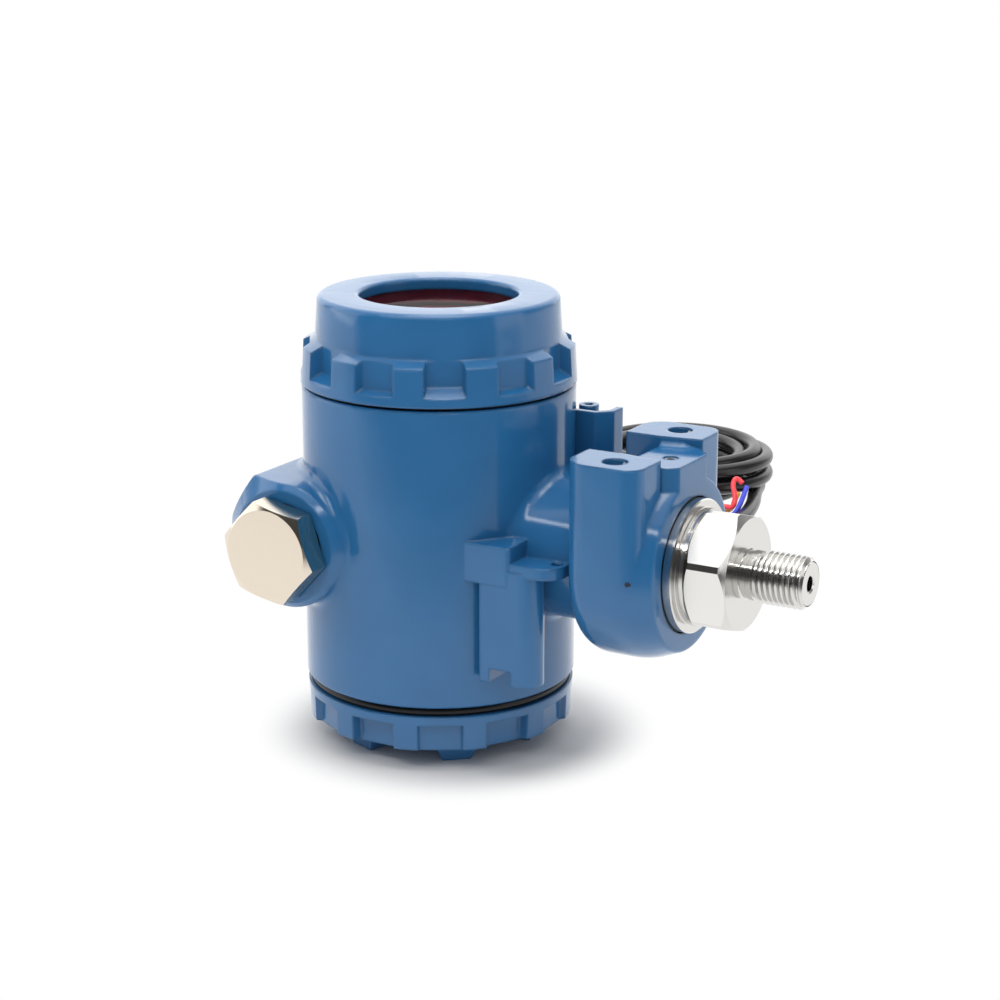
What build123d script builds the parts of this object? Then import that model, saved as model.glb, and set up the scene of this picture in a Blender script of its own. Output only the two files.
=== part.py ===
"""Digital pressure gauge: a blue cast housing that stands on its rear cover.

Millimetres. The origin is on the axis of the round housing, in the plane that the
rear cover's wrench ribs stand on. +Z points up through the display window, and +X
points along the pressure connection. The two cable entries lie on a line parallel
to Y, to one side of the housing's axis.
"""
import os
from math import cos, hypot, pi, radians, sin, sqrt, tan

from build123d import *

os.makedirs("parts", exist_ok=True)

# Housing: the round barrel and its two compartments
barrel_radius = 37.5
barrel_bottom = 18.4
barrel_height = 81.6
barrel_wall = 5.5
cover_bore_step = 1.5
cover_bore_depth = 12.0
partition_bottom = 72.0
partition_thickness = 4.0
barrel_edge = 0.5
neck_blend = 3.0
entry_blend = 2.5

# Housing: neck and sensor carrier
neck_radius = 19.3
neck_bore_radius = 8.0
carrier_back = 52.0
carrier_front = 77.0
carrier_radius = 26.4
carrier_mouth_radius = 23.3
carrier_mouth_cone = 7.8
carrier_back_rounding = 6.5
carrier_front_rounding = 20.0
carrier_edge = 0.8
boss_corner = 5.0
boss_draft = 2.0
boss_front = 73.6
boss_height = 30.6
boss_gap = 21.4
bracket_hole_x = 63.9
bracket_hole_spread = 38.6
bracket_hole_radius = 3.4
bracket_hole_depth = 16.0
tab_back = 62.3
tab_height = 28.1
tab_half_width = 11.6
tab_cove = 2.0
lock_hole_x = 70.4
lock_screw_radius = 2.0
lock_screw_length = 6.0
lock_screw_recess = 0.4

# Housing: cable entries
entry_x = -25.0
entry_stand = 2.7
entry_half_height = 17.2
entry_half_width = 20.3
entry_face_radius = 15.6
entry_bore_radius = 9.5
entry_shoulder = 13.0
entry_facet_end = 4.9
entry_corner = 2.0
entry_end_cone = 9.0

# Housing: ground lug, foot and guard on the outside
pad_reach = 28.4
pad_end = 38.0
pad_bottom = 54.3
pad_top = 65.0
pad_edge = 1.2
ear_end = 51.2
ear_reach = 27.9
ear_bottom = 57.5
ear_top = 60.6
ear_corner = 6.0
ear_hole_x = 48.5
ear_hole_y = -21.2
ear_hole_radius = 1.6
foot_bottom = 27.0
foot_start = 29.0
foot_end = 45.2
foot_centre_y = -23.2
foot_half_width = 5.0
foot_slot_start = 32.0
foot_slot_end = 38.4
foot_slot_height = 4.0
guard_top = 92.3
guard_near = 16.4
guard_bend = 4.0
guard_inner_bend = 4.7
guard_pad_below = 5.8
guard_pad_above = 4.9
guard_wall = 1.8
guard_end = 43.4
guard_reach = 25.6
guard_boss_x = 33.4
guard_boss_y = 24.6
guard_boss_radius = 2.8
guard_boss_bore = 1.3
guard_bore_depth = 12.0

# Covers: rims, collars and faces
cover_rim_inset = 0.3
cover_flange_step = 0.6
cover_collar_length = 9.0
cover_collar_wall = 3.2
cover_groove_depth = 1.0
cover_lead_in = 1.0
display_seal_gap = 0.9
display_rim_height = 10.1
display_bevel_height = 1.8
display_cover_height = 23.6
display_cone_fall = 0.8
display_shoulder = 1.6
display_lip_edge = 1.0
display_groove_length = 2.5
rear_seal_gap = 2.6
rear_rim_height = 9.6
rear_rim_fall = 0.3
rear_face_height = 5.2
rear_bevel_width = 4.8
rear_wall = 4.0
rear_groove_length = 4.2
seal_inset = 0.7
seal_bulge = 0.45

# Covers: grip notches that cut the rim through, and shallow pockets between them
grip_count = 6
notch_depth = 3.5
notch_width = 11.2
notch_floor_width = 9.4
notch_ledge = 2.7
notch_floor_ledge = 4.8
pocket_depth = 2.2
pocket_width = 11.2
pocket_floor_width = 9.2
pocket_ledge = 2.6
pocket_floor_ledge = 3.5
display_notch_angle = -56.45
display_pocket_angle = -85.9
rear_notch_width = 13.4
rear_notch_floor_width = 11.4
rear_pocket_width = 13.2
rear_pocket_floor_width = 11.0
rear_ledge = 2.4
rear_floor_ledge = 2.9
rear_notch_lean = 0.4
rear_notch_angle = -29.3
rear_pocket_angle = -59.2
rib_count = 3
rib_angle = -50.3
rib_margin = 4.4
rib_base_width = 13.0
rib_foot_width = 7.6
rib_end_slope = 1.5

# Window in the display cover
window_ledge = 5.45
window_lip = 3.2
glass_thickness = 8.0
glass_edge = 0.3
glass_seal_thickness = 1.5
glass_seal_setback = 0.85
retainer_thickness = 4.5
retainer_land = 1.0
retainer_rim = 2.0
retainer_bore_step = 0.6
retainer_slot_width = 2.0
retainer_slot_depth = 1.5
retainer_runout = 1.0

# Electronics
module_gap = 4.0
module_height = 13.0
module_edge = 1.5
board_inset = 3.0
board_thickness = 1.6
board_height = 23.0
standoff_radius = 2.5
standoff_inset = 4.0
standoff_count = 4
standoff_angle = 45.0
screw_head_radius = 2.6
screw_head_height = 1.8
panel_width = 34.0
panel_gap = 2.25
panel_height = 4.5
panel_corner = 1.0
panel_headroom = 1.5
terminal_gap = 4.5
terminal_depth = 15.0
terminal_height = 11.0
terminal_x = 8.0
terminal_count = 3
terminal_pitch = 12.0
terminal_well_depth = 2.0
terminal_well_margin = 1.4
ground_screw_x = 8.0
ground_screw_inset = 5.5
ground_washer_margin = 1.4
ground_washer_thickness = 1.2

# Plug and gland in the cable entries
entry_seal_thickness = 0.8
entry_seal_radius = 12.4
entry_seal_overlap = 0.1
entry_thread_length = 15.0
plug_across_flats = 25.0
plug_head_length = 7.4
plug_corner_angle = -12.0
plug_chamfer_radius = 12.1
plug_chamfer_angle = 28.0
gland_across_flats = 24.0
gland_flange_length = 6.0
gland_flange_edge = 0.6
gland_spigot_radius = 8.6
gland_spigot_length = 5.0
gland_bore_gap = 0.4
gland_nut_length = 13.0
gland_grip_length = 7.0
gland_nut_edge = 1.2
gland_nut_radius = 11.4
gland_dome_radius = 8.0
bush_radius = 5.6
bush_proud = 1.2
bush_depth = 3.0
bush_edge = 1.0
cable_inner_end = 2.0
cable_radius = 2.7
cable_fit = 0.05

# Cable outside the gland: a loose coil on the surface behind the housing, and three cores
cable_floor = 2.8
coil_x = -51.0
coil_distance = 200.8
coil_outer = 37.0
coil_inner = 21.0
coil_height = 16.4
coil_rounding = 2.5
tail_end_x = 28.0
tail_end_y = -29.5
core_radius = 0.8
core_gap = 0.15

# Sensor
sensor_bore_radius = 18.3
sensor_bore_depth = 16.0
sensor_disc_radius = 17.9
sensor_disc_front = 79.6
sensor_disc_edge = 0.5
seal_groove_back = 74.9
seal_groove_width = 2.2
seal_groove_radius = 16.3
sensor_collar_radius = 15.5
hex_back = 81.7
hex_front = 93.3
hex_across_flats = 30.0
hex_bar_radius = 16.85
hex_corner_angle = 21.3
hex_face_radius = 14.8
hex_chamfer_length = 1.5
thread_radius = 7.0
thread_neck_radius = 6.3
thread_start = 97.0
thread_lead_in = 0.7
thread_tip_chamfer = 0.8
sensor_end = 110.6
port_radius = 2.0
capsule_radius = 9.0
capsule_thickness = 7.0
capsule_depth = 4.0
lead_radius = 2.0
seal_ring_squeeze = 0.3
seal_ring_side_gap = 0.1
seal_ring_rounding = 0.8
lock_screw_socket = 2.0
lock_screw_socket_depth = 2.0

# Running clearances
thread_clearance = 0.3
seat_clearance = 0.3
lock_screw_clearance = 0.05
seat_end_gap = 0.5

# Length that a cutter runs past the face it opens, and a root runs into its wall
overrun = 1.0
root_depth = 2.5

# Worked out from the sizes above
axis_height = barrel_bottom + barrel_height / 2
barrel_top = barrel_bottom + barrel_height
partition_top = partition_bottom + partition_thickness
boss_top = axis_height + boss_height
tab_top = axis_height + tab_height
entry_reach = barrel_radius + entry_stand
compartment_radius = barrel_radius - barrel_wall
cover_bore_radius = compartment_radius + cover_bore_step
cover_rim_radius = barrel_radius - cover_rim_inset
cover_radius = cover_rim_radius + cover_flange_step
cover_cone_radius = cover_rim_radius - notch_depth
cover_top_radius = cover_cone_radius - display_cone_fall
display_flange = barrel_top + display_seal_gap
display_top = display_flange + display_cover_height
rear_flange = barrel_bottom - rear_seal_gap
collar_radius = cover_bore_radius - thread_clearance
collar_inner = collar_radius - cover_collar_wall
groove_radius = collar_radius - cover_groove_depth
rear_face_radius = cover_rim_radius - rear_bevel_width
rib_reach = rear_face_radius - rib_margin
retainer_radius = collar_inner - retainer_land
glass_radius = retainer_radius - retainer_rim
window_radius = glass_radius - window_ledge
glass_seal_inner = window_radius + glass_seal_setback
glass_top = display_top - window_lip
glass_bottom = glass_top - glass_thickness
retainer_top = glass_bottom - glass_seal_thickness
retainer_bottom = retainer_top - retainer_thickness
module_radius = compartment_radius - module_gap
board_radius = module_radius - board_inset
standoff_circle = board_radius - standoff_inset
panel_depth = 2 * (standoff_circle * sin(radians(standoff_angle)) - screw_head_radius - panel_gap)
ground_screw_y = compartment_radius - ground_screw_inset
terminal_width = 2 * (ground_screw_y - terminal_gap)
entry_inner_end = sqrt(compartment_radius**2 - entry_x**2) - 6.0
pad_root = sqrt(barrel_radius**2 - pad_reach**2) - root_depth
entry_axis = Axis((entry_x, 0, axis_height), (0, 1, 0))
sensor_axis = Axis((0, 0, axis_height), (1, 0, 0))


def export(shape, name):
    """Writes one piece under its own name."""
    shape.label = name
    export_step(shape, f"parts/{name}.step")


def disc(radius, bottom, top, x=0.0, y=0.0):
    """An upright cylinder between two heights."""
    blank = Cylinder(radius, top - bottom, align=(Align.CENTER, Align.CENTER, Align.MIN))
    return Pos(x, y, bottom) * blank


def ring(outer, inner, bottom, top):
    """An upright ring about the housing's axis."""
    return disc(outer, bottom, top) - disc(inner, bottom, top)


def bar_x(radius, start, end):
    """A cylinder along the sensor's axis."""
    blank = Cylinder(radius, end - start, align=(Align.CENTER, Align.CENTER, Align.MIN))
    return Pos(start, 0, axis_height) * Rot(0, 90, 0) * blank


def bar_y(radius, start, end):
    """A cylinder along the axis of the cable entries."""
    blank = Cylinder(radius, end - start, align=(Align.CENTER, Align.CENTER, Align.MIN))
    return Pos(entry_x, start, axis_height) * Rot(-90, 0, 0) * blank


def turned(points):
    """A piece turned about the housing's axis from (radius, height) points."""
    outline = make_face(Plane.XZ * Polyline(*points, close=True))
    return revolve(outline, Axis.Z)


def turned_x(points):
    """A piece turned about the sensor's axis from (x, radius) points."""
    corners = [(x, radius + axis_height) for x, radius in points]
    outline = make_face(Plane.XZ * Polyline(*corners, close=True))
    return revolve(outline, sensor_axis)


def turned_y(points):
    """A piece turned about the entries' axis from (y, radius) points."""
    plane = Plane(origin=(entry_x, 0, 0), x_dir=(0, 1, 0), z_dir=(1, 0, 0))
    corners = [(y, radius + axis_height) for y, radius in points]
    outline = make_face(plane * Polyline(*corners, close=True))
    return revolve(outline, entry_axis)


def upright(outline, bottom, top):
    """A flat outline, drawn from above, raised between two heights."""
    return extrude(Pos(0, 0, bottom) * outline, top - bottom, dir=(0, 0, 1))


def around(piece, count, first_angle=0.0):
    """Copies of a piece, evenly spaced about the housing's axis."""
    return [Rot(0, 0, first_angle + turn * 360 / count) * piece for turn in range(count)]


def box(x_range, y_range, z_range):
    """A plain block between given corners."""
    low = (x_range[0], y_range[0], z_range[0])
    size = (x_range[1] - x_range[0], y_range[1] - y_range[0], z_range[1] - z_range[0])
    return Pos(*low) * Box(*size, align=(Align.MIN, Align.MIN, Align.MIN))


def entry_bar():
    """The prism on the housing's side that holds both cable entries."""
    height = entry_half_height
    width = entry_half_width
    left = Polyline(
        (0, height), (-entry_shoulder, height), (-width, entry_facet_end),
        (-width, -entry_facet_end), (-entry_shoulder, -height), (0, -height),
    )
    right = ThreePointArc((0, -height), (height, 0), (0, height))
    section = make_face(left + right)
    corners = section.vertices().filter_by(lambda v: v.X < -entry_shoulder / 2)
    section = fillet(corners, entry_corner)
    plane = Plane(origin=(entry_x, -entry_reach, axis_height), x_dir=(1, 0, 0), z_dir=(0, -1, 0))
    prism = extrude(plane * section, -2 * entry_reach)
    trim = bar_y(entry_face_radius + entry_end_cone, -entry_reach, entry_reach)
    return prism & chamfer(trim.edges().filter_by(GeomType.CIRCLE), entry_end_cone)


def carrier():
    """The upright U that carries the sensor and the two bracket bosses."""
    cone_start = carrier_front - carrier_mouth_cone
    profile = make_face(Plane.XZ * Polyline(
        (carrier_back, axis_height), (carrier_back, axis_height + carrier_radius),
        (cone_start, axis_height + carrier_radius),
        (carrier_front, axis_height + carrier_mouth_radius), (carrier_front, axis_height),
        close=True,
    ))
    for place, rounding in (
        (carrier_back, carrier_back_rounding), (cone_start, carrier_front_rounding),
        (carrier_front, carrier_edge),
    ):
        corners = profile.vertices().filter_by(lambda v: v.Z > axis_height + carrier_mouth_radius / 2)
        profile = fillet(corners.sort_by(lambda v: abs(v.X - place))[0], rounding)
    body = revolve(profile, sensor_axis)
    length = boss_front - carrier_back
    plan = Pos(carrier_back + length / 2, 0) * Rectangle(length, 2 * carrier_radius)
    plan = fillet(plan.vertices().sort_by(Axis.X)[:2], carrier_back_rounding)
    plan = fillet(plan.vertices().sort_by(Axis.X)[-2:], boss_corner)
    towers = upright(plan, axis_height, boss_top)
    half_gap = boss_gap / 2
    valley_back = carrier_back - overrun
    valley_front = boss_front + overrun
    valley = make_face(Polyline(
        (valley_back, half_gap), (tab_back, half_gap), (valley_front, half_gap + boss_draft),
        (valley_front, -half_gap - boss_draft), (tab_back, -half_gap), (valley_back, -half_gap),
        close=True,
    ))
    towers -= upright(valley, axis_height + neck_radius - overrun, boss_top + overrun)
    tab_corner = carrier_front - boss_front
    tab = make_face(Polyline(
        (tab_back, tab_half_width), (boss_front, tab_half_width),
        (carrier_front, tab_half_width - tab_corner), (carrier_front, tab_corner - tab_half_width),
        (boss_front, -tab_half_width), (tab_back, -tab_half_width), close=True,
    ))
    block = towers + upright(tab, axis_height, tab_top)
    seams = block.edges().filter_by(
        lambda e: abs((e @ 0).Z - tab_top) < 0.01 and abs((e @ 1).Z - tab_top) < 0.01
        and e.center().X > tab_back and abs(e.center().Y) > half_gap and abs((e % 0.5).Y) > 0.05
        and e.center().X < lock_hole_x
    )
    return fillet(seams, tab_cove) + body


def foot_and_ear():
    """Cast ground lug on its pad, with the foot that runs down beside it."""
    neck_side = root_depth - neck_radius
    pad = box((pad_root, pad_end), (-pad_reach, neck_side), (pad_bottom, pad_top))
    outer_edge = pad.edges().filter_by(Axis.Z).sort_by(Axis.X)[-2:].sort_by(Axis.Y)[0]
    pad = fillet(outer_edge, pad_edge)
    ear_start = pad_end - overrun
    plan = Pos((ear_start + ear_end) / 2, (neck_side - ear_reach) / 2)
    plan = plan * Rectangle(ear_end - ear_start, ear_reach + neck_side)
    outer_corner = plan.vertices().sort_by(Axis.Y)[:2].sort_by(Axis.X)[-1]
    ear = upright(fillet(outer_corner, ear_corner), ear_bottom, ear_top)
    round_x = foot_end - foot_half_width
    foot_plan = Pos((foot_start + round_x) / 2, foot_centre_y)
    foot_plan = foot_plan * Rectangle(round_x - foot_start, 2 * foot_half_width)
    foot_plan += Pos(round_x, foot_centre_y) * Circle(foot_half_width)
    foot = upright(foot_plan, foot_bottom, ear_bottom + overrun)
    slot = box(
        (foot_slot_start, foot_slot_end), (-pad_reach - overrun, 0),
        (foot_bottom - overrun, foot_bottom + foot_slot_height),
    )
    return pad + ear + (foot - slot)


def guard():
    """Open channel wall on the far side of the neck, above its own pad."""
    inner_end = guard_end - guard_wall
    outline = make_face(Polyline(
        (pad_root, guard_near), (guard_end - guard_bend, guard_near),
        (guard_end, guard_near + guard_bend), (guard_end, guard_reach), (inner_end, guard_reach),
        (inner_end, guard_near + guard_inner_bend),
        (guard_end - guard_inner_bend, guard_near + guard_wall),
        (pad_root, guard_near + guard_wall), close=True,
    ))
    wall = upright(outline, axis_height, guard_top)
    boss = disc(guard_boss_radius, axis_height, guard_top, guard_boss_x, guard_boss_y)
    pad = box(
        (pad_root, guard_end), (guard_near, pad_reach),
        (axis_height - guard_pad_below, axis_height + guard_pad_above),
    )
    return wall + boss + pad


def on_barrel(edge):
    """True for an edge that lies on the barrel's side and belongs to the entry bar."""
    samples = [edge @ place for place in (0.1, 0.4, 0.8)]
    outside = all(abs(hypot(point.X, point.Y) - barrel_radius) < 0.01 for point in samples)
    beside = edge.center().X < neck_radius - 3
    return outside and beside and barrel_bottom + 5 < edge.center().Z < barrel_top - 5


def housing():
    """The one-piece casting with everything that is bored and tapped in it."""
    body = chamfer(disc(barrel_radius, barrel_bottom, barrel_top).edges(), barrel_edge)
    body = body + bar_x(neck_radius, 0, (carrier_back + carrier_front) / 2)
    neck_join = body.edges().filter_by(lambda e: e.geom_type not in (GeomType.LINE, GeomType.CIRCLE))
    body = fillet(neck_join, neck_blend)
    body = body + entry_bar()
    body = fillet(body.edges().filter_by(on_barrel), entry_blend)
    body = body + carrier() + foot_and_ear() + guard()
    body -= disc(compartment_radius, partition_top, barrel_top + overrun)
    body -= disc(compartment_radius, barrel_bottom - overrun, partition_bottom)
    body -= disc(cover_bore_radius, barrel_top - cover_bore_depth, barrel_top + overrun)
    body -= disc(cover_bore_radius, barrel_bottom - overrun, barrel_bottom + cover_bore_depth)
    for side in (-1, 1):
        start, end = sorted((side * entry_inner_end, side * (entry_reach + overrun)))
        body -= bar_y(entry_bore_radius, start, end)
        body -= disc(
            bracket_hole_radius, boss_top - bracket_hole_depth, boss_top + overrun,
            bracket_hole_x, side * bracket_hole_spread / 2,
        )
    body -= bar_x(neck_bore_radius, compartment_radius - barrel_wall, carrier_front)
    body -= bar_x(sensor_bore_radius, carrier_front - sensor_bore_depth, carrier_front + overrun)
    body -= disc(ear_hole_radius, ear_bottom - overrun, ear_top + overrun, ear_hole_x, ear_hole_y)
    bore_bottom = guard_top - guard_bore_depth
    body -= disc(guard_boss_bore, bore_bottom, guard_top + overrun, guard_boss_x, guard_boss_y)
    body -= disc(lock_screw_radius, axis_height, tab_top + overrun, lock_hole_x)
    return body


def grip_cut(rim_width, floor_width, floor_radius, rim_ledge, floor_ledge, opening, lean=0.0):
    """Cutter for a grip notch in a cover's rim, open at the height called opening."""
    beyond = 2.0
    depth = cover_rim_radius - floor_radius
    flare = (rim_width - floor_width) / 2 / depth * beyond
    fall = (rim_ledge - floor_ledge) / depth * beyond
    reach = cover_rim_radius + beyond
    inside = floor_radius - beyond
    plan = make_face(Polyline(
        (inside, floor_width / 2 - flare), (reach, rim_width / 2 + flare),
        (reach, -rim_width / 2 - flare), (inside, flare - floor_width / 2), close=True,
    ))
    low, high = sorted((rim_ledge, opening))
    column = upright(plan, low - beyond, high + beyond)
    profile = make_face(Plane.XZ * Polyline(
        (floor_radius, floor_ledge), (reach, rim_ledge + fall), (reach, opening),
        (floor_radius - lean, opening), close=True,
    ))
    return column & extrude(profile, rim_width, both=True)


def on_circle(piece, radius):
    """The round edges of a piece that have the given radius, lowest first."""
    circles = piece.edges().filter_by(GeomType.CIRCLE)
    return circles.filter_by(lambda edge: abs(edge.radius - radius) < 0.01).sort_by(Axis.Z)


def display_cover():
    """Screw-on cap with the window, its grip notches and its threaded collar."""
    rim_top = display_flange + display_rim_height
    bevel_top = rim_top + display_bevel_height
    collar_bottom = display_flange - cover_collar_length
    groove_bottom = display_flange - display_groove_length
    retainer_bore = retainer_radius + thread_clearance
    glass_bore = glass_radius + seat_clearance
    cap = turned([
        (window_radius, glass_top), (window_radius, display_top), (cover_top_radius, display_top),
        (cover_cone_radius, bevel_top), (cover_rim_radius, rim_top), (cover_radius, display_flange),
        (groove_radius, display_flange), (groove_radius, groove_bottom),
        (collar_radius, groove_bottom - cover_groove_depth),
        (collar_radius, collar_bottom + cover_lead_in),
        (collar_radius - cover_lead_in, collar_bottom), (collar_inner, collar_bottom),
        (collar_inner, retainer_bottom - retainer_runout),
        (retainer_bore, retainer_bottom - retainer_runout), (retainer_bore, retainer_top + seat_end_gap),
        (glass_bore, retainer_top + seat_end_gap), (glass_bore, glass_top),
    ])
    cap = fillet(on_circle(cap, cover_top_radius)[-1], display_shoulder)
    cap = fillet(on_circle(cap, window_radius)[-1], display_lip_edge)
    opening = bevel_top + overrun
    notch = grip_cut(
        notch_width, notch_floor_width, cover_cone_radius,
        display_flange + notch_ledge, display_flange + notch_floor_ledge, opening,
    )
    pocket = grip_cut(
        pocket_width, pocket_floor_width, cover_rim_radius - pocket_depth,
        display_flange + pocket_ledge, display_flange + pocket_floor_ledge, opening,
    )
    for cutter in around(notch, grip_count, display_notch_angle):
        cap -= cutter
    for cutter in around(pocket, grip_count, display_pocket_angle):
        cap -= cutter
    return cap


def rear_cover():
    """Blind screw-on cap of the wiring side, with the wrench ribs it stands on."""
    rim_bottom = rear_flange - rear_rim_height
    collar_top = rear_flange + cover_collar_length
    groove_top = rear_flange + rear_groove_length
    inner_face = rear_face_height + rear_wall
    cap = turned([
        (0, rear_face_height), (rear_face_radius, rear_face_height),
        (cover_rim_radius - rear_rim_fall, rim_bottom), (cover_rim_radius, rear_flange),
        (groove_radius, rear_flange), (groove_radius, groove_top),
        (collar_radius, groove_top + cover_groove_depth), (collar_radius, collar_top - cover_lead_in),
        (collar_radius - cover_lead_in, collar_top), (collar_inner, collar_top),
        (collar_inner, inner_face), (0, inner_face),
    ])
    opening = rear_face_height - overrun
    ledges = (rear_flange - rear_ledge, rear_flange - rear_floor_ledge)
    notch = grip_cut(
        rear_notch_width, rear_notch_floor_width, cover_cone_radius, *ledges, opening, rear_notch_lean,
    )
    pocket = grip_cut(
        rear_pocket_width, rear_pocket_floor_width, cover_rim_radius - pocket_depth, *ledges, opening,
    )
    for cutter in around(notch, grip_count, rear_notch_angle):
        cap -= cutter
    for cutter in around(pocket, grip_count, rear_pocket_angle):
        cap -= cutter
    base = Pos(0, 0, rear_face_height) * Rectangle(2 * (rib_reach + rib_end_slope), rib_base_width)
    foot = Rectangle(2 * rib_reach, rib_foot_width)
    rib = loft([foot, base])
    for turn in range(rib_count):
        cap += Rot(0, 0, rib_angle + turn * 180 / rib_count) * rib
    return cap


def cover_seal(flange, end_face):
    """Rubber ring squeezed between a cover's flange and the housing's end."""
    low, high = sorted((flange, end_face))
    outer = cover_rim_radius - seal_inset
    band = ring(outer, groove_radius + entry_seal_overlap, low, high)
    return fillet(on_circle(band, outer), (high - low) * seal_bulge)


def window_pieces():
    """Glass, the flat seal under it, and the threaded ring that holds both."""
    glass = disc(glass_radius, glass_bottom, glass_top)
    export(chamfer(glass.edges(), glass_edge), "window_glass")
    export(ring(glass_radius, glass_seal_inner, retainer_top, glass_bottom), "window_seal")
    bore = glass_seal_inner + retainer_bore_step
    retainer = ring(retainer_radius, bore, retainer_bottom, retainer_top)
    slot_length = 2 * (retainer_radius + overrun)
    slot = Box(slot_length, retainer_slot_width, 2 * retainer_slot_depth)
    for turn in (0, 90):
        retainer -= Pos(0, 0, retainer_bottom) * Rot(0, 0, turn) * slot
    export(retainer, "glass_retainer")


def electronics():
    """Potted module on the partition, with the display standing on it."""
    module_top = partition_top + module_height
    module = disc(module_radius, partition_top, module_top)
    module = fillet(module.edges().sort_by(Axis.Z)[-1], module_edge)
    export(module, "electronics_module")
    panel_room = retainer_bottom - panel_headroom - panel_height
    board_top = min(module_top + board_height, panel_room)
    board_bottom = board_top - board_thickness
    standoffs = []
    screws = []
    for turn in range(standoff_count):
        angle = radians(standoff_angle + turn * 360 / standoff_count)
        x = standoff_circle * cos(angle)
        y = standoff_circle * sin(angle)
        standoffs.append(disc(standoff_radius, module_top, board_bottom, x, y))
        screws.append(disc(screw_head_radius, board_top, board_top + screw_head_height, x, y))
    export(disc(board_radius, board_bottom, board_top), "display_board")
    export(Compound(standoffs), "display_standoffs")
    export(Compound(screws), "display_screws")
    panel = box(
        (-panel_width / 2, panel_width / 2), (-panel_depth / 2, panel_depth / 2),
        (board_top, board_top + panel_height),
    )
    export(fillet(panel.edges().filter_by(Axis.Z), panel_corner), "display_panel")


def wiring():
    """Terminal block under the partition and the screws in it."""
    bottom = partition_bottom - terminal_height
    block = box(
        (terminal_x - terminal_depth / 2, terminal_x + terminal_depth / 2),
        (-terminal_width / 2, terminal_width / 2), (bottom, partition_bottom),
    )
    well_radius = screw_head_radius + terminal_well_margin
    well_top = bottom + terminal_well_depth
    screws = []
    for index in range(terminal_count):
        y = (index - (terminal_count - 1) / 2) * terminal_pitch
        block -= disc(well_radius, bottom - overrun, well_top, terminal_x, y)
        screws.append(disc(screw_head_radius, well_top - screw_head_height, well_top, terminal_x, y))
    export(block, "terminal_block")
    export(Compound(screws), "terminal_screws")
    washer_bottom = partition_bottom - ground_washer_thickness
    place = (ground_screw_x, ground_screw_y)
    head = disc(screw_head_radius, washer_bottom - screw_head_height, washer_bottom, *place)
    washer = disc(screw_head_radius + ground_washer_margin, washer_bottom, partition_bottom, *place)
    export(head + washer, "internal_ground_screw")


def hexagon(across_flats, first_corner):
    """A regular hexagon with a corner at the given angle."""
    return RegularPolygon(across_flats / 2, 6, major_radius=False, rotation=first_corner)


def conduit_plug():
    """Blanking plug: a solid hexagon head with its threaded shank."""
    inner = entry_reach + entry_seal_thickness
    outer = inner + plug_head_length
    plane = Plane(origin=(entry_x, -inner, axis_height), x_dir=(1, 0, 0), z_dir=(0, -1, 0))
    head = extrude(plane * hexagon(plug_across_flats, plug_corner_angle), plug_head_length)
    clear_radius = plug_across_flats / sqrt(3) + overrun
    fall = (clear_radius - plug_chamfer_radius) * tan(radians(plug_chamfer_angle))
    cone = turned_y([
        (-inner, 0), (-inner, clear_radius), (fall - outer, clear_radius),
        (-outer, plug_chamfer_radius), (-outer, 0),
    ])
    shank = bar_y(entry_bore_radius - thread_clearance, -inner, entry_thread_length - entry_reach)
    export((head & cone) + shank, "conduit_plug")


def entry_seals():
    """Flat washers under the plug's head and under the gland."""
    hole_radius = entry_bore_radius - entry_seal_overlap
    for side, name in ((-1, "plug_seal"), (1, "gland_seal")):
        start, end = sorted((side * entry_reach, side * (entry_reach + entry_seal_thickness)))
        export(bar_y(entry_seal_radius, start, end) - bar_y(hole_radius, start, end), name)


def gland():
    """Cable gland: body, domed nut and the rubber bush that grips the cable."""
    shank_end = entry_reach - entry_thread_length
    inner = entry_reach + entry_seal_thickness
    flange_end = inner + gland_flange_length
    spigot_end = flange_end + gland_spigot_length
    nut_start = flange_end + seat_clearance
    nut_end = flange_end + gland_nut_length
    plane = Plane(origin=(entry_x, inner, axis_height), x_dir=(1, 0, 0), z_dir=(0, 1, 0))
    body = extrude(plane * hexagon(gland_across_flats, 30), gland_flange_length)
    body = chamfer(body.edges().group_by(Axis.Y)[-1], gland_flange_edge)
    body += bar_y(entry_bore_radius - thread_clearance, shank_end, inner)
    body += bar_y(gland_spigot_radius, flange_end, spigot_end)
    body -= bar_y(bush_radius + gland_bore_gap, shank_end - overrun, spigot_end + overrun)
    export(body, "gland_body")
    nut_bore = gland_spigot_radius + thread_clearance
    bush_bore = bush_radius + seat_clearance
    step = spigot_end + seat_clearance
    nut = turned_y([
        (nut_start, nut_bore), (nut_start, gland_nut_radius),
        (flange_end + gland_grip_length, gland_nut_radius), (nut_end - gland_nut_edge, gland_dome_radius),
        (nut_end, gland_dome_radius - gland_nut_edge), (nut_end, bush_bore), (step, bush_bore),
        (step, nut_bore),
    ])
    export(nut, "gland_nut")
    bush_start = flange_end - bush_depth
    bush_end = nut_end + bush_proud
    bush = bar_y(bush_radius, bush_start, bush_end)
    bush = fillet(bush.edges().group_by(Axis.Y)[-1], bush_edge)
    bush -= bar_y(cable_radius + cable_fit, bush_start - overrun, bush_end + overrun)
    export(bush, "gland_bush")
    export(bar_y(cable_radius, cable_inner_end, bush_end), "cable_in_gland")
    return bush_end


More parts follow.
